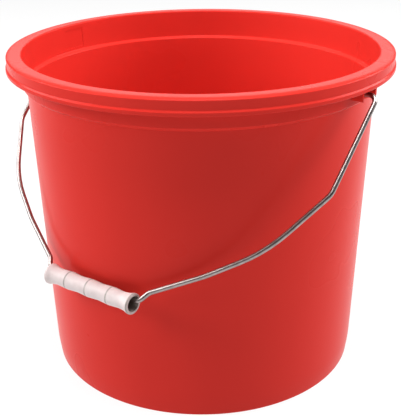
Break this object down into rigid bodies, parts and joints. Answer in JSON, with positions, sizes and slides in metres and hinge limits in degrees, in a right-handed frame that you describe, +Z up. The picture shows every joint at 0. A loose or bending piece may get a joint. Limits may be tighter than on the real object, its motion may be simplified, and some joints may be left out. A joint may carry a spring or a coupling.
{
  "type": "bucket with wire bail",
  "caption": "Round tapered plastic bucket with a skirted rim, a swinging bent-wire bail and a loose ribbed tube grip.",
  "frame": {"origin": "centre of the foot ring, on the floor the bucket stands on", "axes": "+Z up along the bucket's axis; X is parallel to the bail's hinge axis, through both ears; the stored bail hangs on the -Y side"},
  "size_m": [0.3082, 0.3, 0.2565],
  "materials": {
    "body_plastic": "smooth injection-moulded polypropylene, semi-gloss",
    "bail_steel": "bright zinc-plated drawn wire",
    "grip_plastic": "smooth off-white polyethylene, soft gloss"
  },
  "bodies": {
    "bucket": {"bucket_body": "body_plastic"},
    "bail": {"bail_wire": "bail_steel"},
    "grip": {"handle_grip": "grip_plastic"}
  },
  "joints": [
    {"name": "bail_swing", "type": "hinge", "parent": "bucket", "child": "bail", "pos_m": [0, 0, 0.24], "axis": [-1, 0, 0], "range_deg": [0, 270]},
    {"name": "grip_spin", "type": "hinge", "parent": "bail", "child": "grip", "pos_m": [0, -0.13741, 0.10227], "axis": [1, 0, 0], "continuous": true}
  ]
}
